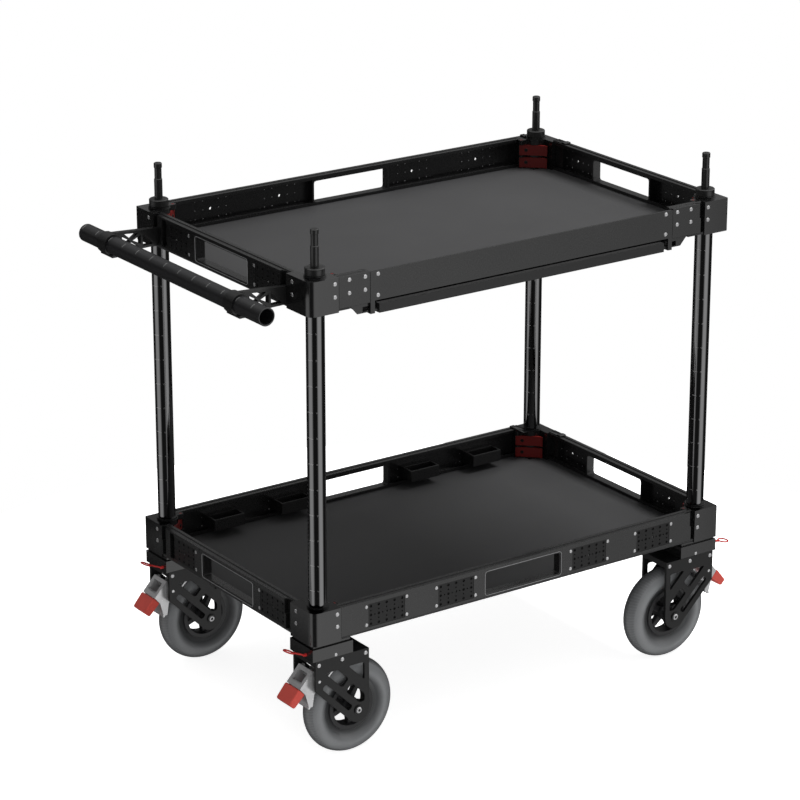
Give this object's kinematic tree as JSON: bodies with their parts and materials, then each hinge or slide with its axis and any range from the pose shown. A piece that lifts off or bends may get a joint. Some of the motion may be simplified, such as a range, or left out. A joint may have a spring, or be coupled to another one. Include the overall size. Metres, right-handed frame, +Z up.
{
  "type": "camera cart",
  "caption": "Two-shelf rolling camera cart with round posts topped by studs, framed shelves, a push handle, a sliding tray and braked swivel casters.",
  "frame": {"origin": "on the floor, under the middle of the cart with its handle, loops and pads", "axes": "+X along the long side, away from the push handle; +Y from the tray front to the back; +Z up"},
  "size_m": [1.1544, 0.643, 1.0508],
  "materials": {
    "black_anodised": "satin black anodised",
    "deck_coat": "fine matt black coat",
    "gloss_black": "polished black anodised",
    "red_anodised": "dark red anodised",
    "red_pad": "red moulded pad",
    "zinc_steel": "bright zinc plate",
    "grey_tyre": "smooth grey pneumatic tyre",
    "black_plastic": "matt black moulding"
  },
  "bodies": {
    "lower_shelf": {"lower_rail_front": "black_anodised", "lower_rail_back": "black_anodised", "lower_rail_left": "black_anodised", "lower_rail_right": "black_anodised", "lower_deck": "deck_coat", "post_fl": "gloss_black", "lower_block_fl": "black_anodised", "post_fr": "gloss_black", "lower_block_fr": "black_anodised", "post_bl": "gloss_black", "lower_block_bl": "black_anodised", "post_br": "gloss_black", "lower_block_br": "black_anodised"},
    "upper_shelf": {"upper_rail_back": "black_anodised", "upper_rail_left": "black_anodised", "upper_rail_right": "black_anodised", "upper_deck": "deck_coat", "upper_block_fl": "black_anodised", "upper_block_fr": "black_anodised", "upper_block_bl": "black_anodised", "upper_block_br": "black_anodised", "upper_end_left": "black_anodised", "upper_end_right": "black_anodised", "handle_tube": "gloss_black", "handle_bracket_back": "black_anodised", "handle_bracket_front": "black_anodised"},
    "tray": {"tray": "black_anodised"},
    "drop_front": {"drop_front": "black_anodised"},
    "caster_fl": {"fork_fl": "black_anodised"},
    "wheel_fl": {"rim_fl": "black_plastic", "tyre_fl": "grey_tyre"},
    "brake_fl": {"brake_fl": "zinc_steel", "brake_pad_fl": "red_pad"},
    "lock_fl": {"lock_pin_fl": "red_anodised"},
    "lower_lever_fl": {"lower_lever_fl": "red_anodised"},
    "upper_lever_fl": {"upper_lever_fl": "red_anodised"},
    "caster_fr": {"fork_fr": "black_anodised"},
    "wheel_fr": {"rim_fr": "black_plastic", "tyre_fr": "grey_tyre"},
    "brake_fr": {"brake_fr": "zinc_steel", "brake_pad_fr": "red_pad"},
    "lock_fr": {"lock_pin_fr": "red_anodised"},
    "lower_lever_fr": {"lower_lever_fr": "red_anodised"},
    "upper_lever_fr": {"upper_lever_fr": "red_anodised"},
    "caster_bl": {"fork_bl": "black_anodised"},
    "wheel_bl": {"rim_bl": "black_plastic", "tyre_bl": "grey_tyre"},
    "brake_bl": {"brake_bl": "zinc_steel", "brake_pad_bl": "red_pad"},
    "lock_bl": {"lock_pin_bl": "red_anodised"},
    "lower_lever_bl": {"lower_lever_bl": "red_anodised"},
    "upper_lever_bl": {"upper_lever_bl": "red_anodised"},
    "caster_br": {"fork_br": "black_anodised"},
    "wheel_br": {"rim_br": "black_plastic", "tyre_br": "grey_tyre"},
    "brake_br": {"brake_br": "zinc_steel", "brake_pad_br": "red_pad"},
    "lock_br": {"lock_pin_br": "red_anodised"},
    "lower_lever_br": {"lower_lever_br": "red_anodised"},
    "upper_lever_br": {"upper_lever_br": "red_anodised"}
  },
  "joints": [
    {"name": "upper_shelf_height", "type": "slide", "parent": "lower_shelf", "child": "upper_shelf", "axis": [0, 0, 1], "range_m": [-0.5, 0]},
    {"name": "tray_slide", "type": "slide", "parent": "upper_shelf", "child": "tray", "axis": [0, -1, 0], "range_m": [0, 0.27]},
    {"name": "drop_front_hinge", "type": "hinge", "parent": "tray", "child": "drop_front", "pos_m": [0.03575, -0.2995, 0.884], "axis": [1, 0, 0], "range_deg": [0, 90]},
    {"name": "lower_lever_fl_swing", "type": "hinge", "parent": "lower_shelf", "child": "lower_lever_fl", "pos_m": [-0.38774, -0.27866, 0.2859], "axis": [0, 0, -1], "range_deg": [0, 70]},
    {"name": "upper_lever_fl_swing", "type": "hinge", "parent": "upper_shelf", "child": "upper_lever_fl", "pos_m": [-0.38774, -0.27866, 0.9316], "axis": [0, 0, -1], "range_deg": [0, 70]},
    {"name": "caster_fl_swivel", "type": "hinge", "parent": "lower_shelf", "child": "caster_fl", "pos_m": [-0.40875, -0.2654, 0.2184], "axis": [0, 0, 1], "continuous": true},
    {"name": "wheel_fl_spin", "type": "hinge", "parent": "caster_fl", "child": "wheel_fl", "pos_m": [-0.35225, -0.2654, 0.096], "axis": [0, 1, 0], "continuous": true},
    {"name": "brake_fl_press", "type": "hinge", "parent": "caster_fl", "child": "brake_fl", "pos_m": [-0.43926, -0.2654, 0.17605], "axis": [0, -1, 0], "range_deg": [0, 4.6]},
    {"name": "lock_fl_pull", "type": "slide", "parent": "lower_shelf", "child": "lock_fl", "axis": [-1, 0, 0], "range_m": [0, 0.012]},
    {"name": "lower_lever_fr_swing", "type": "hinge", "parent": "lower_shelf", "child": "lower_lever_fr", "pos_m": [0.45924, -0.27866, 0.2859], "axis": [0, 0, 1], "range_deg": [0, 70]},
    {"name": "upper_lever_fr_swing", "type": "hinge", "parent": "upper_shelf", "child": "upper_lever_fr", "pos_m": [0.45924, -0.27866, 0.9316], "axis": [0, 0, 1], "range_deg": [0, 70]},
    {"name": "caster_fr_swivel", "type": "hinge", "parent": "lower_shelf", "child": "caster_fr", "pos_m": [0.48025, -0.2654, 0.2184], "axis": [0, 0, 1], "continuous": true},
    {"name": "wheel_fr_spin", "type": "hinge", "parent": "caster_fr", "child": "wheel_fr", "pos_m": [0.42375, -0.2654, 0.096], "axis": [0, 1, 0], "continuous": true},
    {"name": "brake_fr_press", "type": "hinge", "parent": "caster_fr", "child": "brake_fr", "pos_m": [0.51076, -0.2654, 0.17605], "axis": [0, 1, 0], "range_deg": [0, 4.6]},
    {"name": "lock_fr_pull", "type": "slide", "parent": "lower_shelf", "child": "lock_fr", "axis": [1, 0, 0], "range_m": [0, 0.012]},
    {"name": "lower_lever_bl_swing", "type": "hinge", "parent": "lower_shelf", "child": "lower_lever_bl", "pos_m": [-0.38774, 0.27866, 0.2859], "axis": [0, 0, 1], "range_deg": [0, 70]},
    {"name": "upper_lever_bl_swing", "type": "hinge", "parent": "upper_shelf", "child": "upper_lever_bl", "pos_m": [-0.38774, 0.27866, 0.9316], "axis": [0, 0, 1], "range_deg": [0, 70]},
    {"name": "caster_bl_swivel", "type": "hinge", "parent": "lower_shelf", "child": "caster_bl", "pos_m": [-0.40875, 0.2654, 0.2184], "axis": [0, 0, 1], "continuous": true},
    {"name": "wheel_bl_spin", "type": "hinge", "parent": "caster_bl", "child": "wheel_bl", "pos_m": [-0.35225, 0.2654, 0.096], "axis": [0, 1, 0], "continuous": true},
    {"name": "brake_bl_press", "type": "hinge", "parent": "caster_bl", "child": "brake_bl", "pos_m": [-0.43926, 0.2654, 0.17605], "axis": [0, -1, 0], "range_deg": [0, 4.6]},
    {"name": "lock_bl_pull", "type": "slide", "parent": "lower_shelf", "child": "lock_bl", "axis": [-1, 0, 0], "range_m": [0, 0.012]},
    {"name": "lower_lever_br_swing", "type": "hinge", "parent": "lower_shelf", "child": "lower_lever_br", "pos_m": [0.45924, 0.27866, 0.2859], "axis": [0, 0, -1], "range_deg": [0, 70]},
    {"name": "upper_lever_br_swing", "type": "hinge", "parent": "upper_shelf", "child": "upper_lever_br", "pos_m": [0.45924, 0.27866, 0.9316], "axis": [0, 0, -1], "range_deg": [0, 70]},
    {"name": "caster_br_swivel", "type": "hinge", "parent": "lower_shelf", "child": "caster_br", "pos_m": [0.48025, 0.2654, 0.2184], "axis": [0, 0, 1], "continuous": true},
    {"name": "wheel_br_spin", "type": "hinge", "parent": "caster_br", "child": "wheel_br", "pos_m": [0.42375, 0.2654, 0.096], "axis": [0, 1, 0], "continuous": true},
    {"name": "brake_br_press", "type": "hinge", "parent": "caster_br", "child": "brake_br", "pos_m": [0.51076, 0.2654, 0.17605], "axis": [0, 1, 0], "range_deg": [0, 4.6]},
    {"name": "lock_br_pull", "type": "slide", "parent": "lower_shelf", "child": "lock_br", "axis": [1, 0, 0], "range_m": [0, 0.012]}
  ]
}
